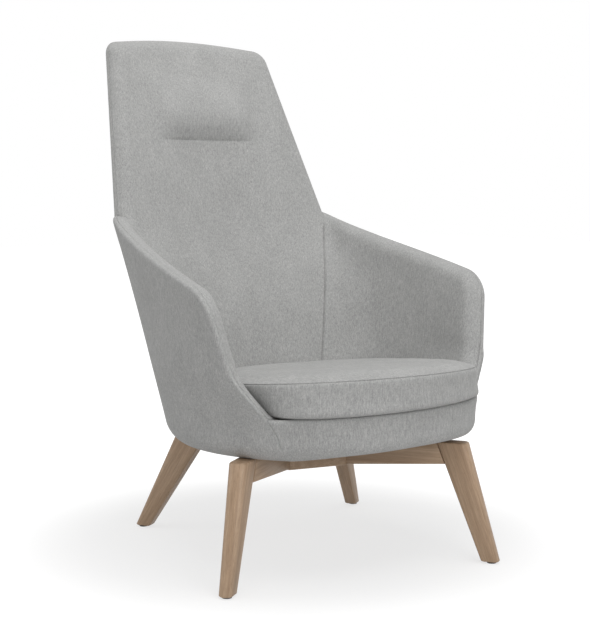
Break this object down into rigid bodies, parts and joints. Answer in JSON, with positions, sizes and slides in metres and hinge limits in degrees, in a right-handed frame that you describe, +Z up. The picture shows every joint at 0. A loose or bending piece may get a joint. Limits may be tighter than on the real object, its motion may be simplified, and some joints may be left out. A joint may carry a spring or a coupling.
{
  "type": "lounge chair",
  "caption": "High back lounge chair: an upholstered bucket shell with winged arms and a loose seat cushion, swivelling on splayed wooden legs.",
  "frame": {"origin": "on the floor, in the middle of the bounding box", "axes": "+Z up; -Y is the way the seat shell faces at rest; the base is turned 15.8 degrees clockwise under it, seen from above"},
  "size_m": [0.7984, 0.8768, 1.142],
  "materials": {
    "grey_fabric": "matt woven wool, light grey melange",
    "black_fabric": "thin non-woven lining",
    "oiled_wood": "oiled, light greyish brown",
    "plywood": "raw birch plywood",
    "foam": "cut polyurethane foam",
    "zinc_steel": "zinc plated",
    "black_steel": "black powder coat",
    "nylon": "natural",
    "felt": "pressed felt"
  },
  "bodies": {
    "base": {"swivel_lower_plate": "black_steel", "swivel_spindle": "black_steel", "swivel_thrust_washer": "nylon", "lower_plate_screw_rear_right": "zinc_steel", "lower_plate_screw_rear_left": "zinc_steel", "lower_plate_screw_front_left": "zinc_steel", "lower_plate_screw_front_right": "zinc_steel", "leg_front_right": "oiled_wood", "rail_front_right": "oiled_wood", "leg_stud_front_right": "zinc_steel", "hub_stud_front_right": "zinc_steel", "glide_front_right": "felt", "leg_front_left": "oiled_wood", "rail_front_left": "oiled_wood", "leg_stud_front_left": "zinc_steel", "hub_stud_front_left": "zinc_steel", "glide_front_left": "felt", "leg_rear_right": "oiled_wood", "rail_rear_right": "oiled_wood", "leg_stud_rear_right": "zinc_steel", "hub_stud_rear_right": "zinc_steel", "glide_rear_right": "felt", "leg_rear_left": "oiled_wood", "rail_rear_left": "oiled_wood", "leg_stud_rear_left": "zinc_steel", "hub_stud_rear_left": "zinc_steel", "glide_rear_left": "felt", "hub": "oiled_wood"},
    "seat": {"outer_back_cover": "grey_fabric", "back_frame": "plywood", "inner_back_pad": "grey_fabric", "outer_arm_cover_right": "grey_fabric", "outer_arm_cover_left": "grey_fabric", "arm_frame_right": "plywood", "arm_frame_left": "plywood", "inner_arm_pad_right": "grey_fabric", "inner_arm_pad_left": "grey_fabric", "front_rail_cover": "grey_fabric", "front_rail_board": "plywood", "seat_board": "plywood", "seat_deck": "foam", "seat_cushion": "grey_fabric", "dust_cover": "black_fabric", "swivel_upper_plate": "black_steel", "swivel_housing": "black_steel", "swivel_retainer": "black_steel", "upper_plate_screw_rear_right": "zinc_steel", "upper_plate_screw_rear_left": "zinc_steel", "upper_plate_screw_front_left": "zinc_steel", "upper_plate_screw_front_right": "zinc_steel"}
  },
  "joints": [
    {"name": "seat_swivel", "type": "hinge", "parent": "base", "child": "seat", "pos_m": [0, -0.02508, 0.27], "axis": [0, 0, 1], "continuous": true}
  ]
}
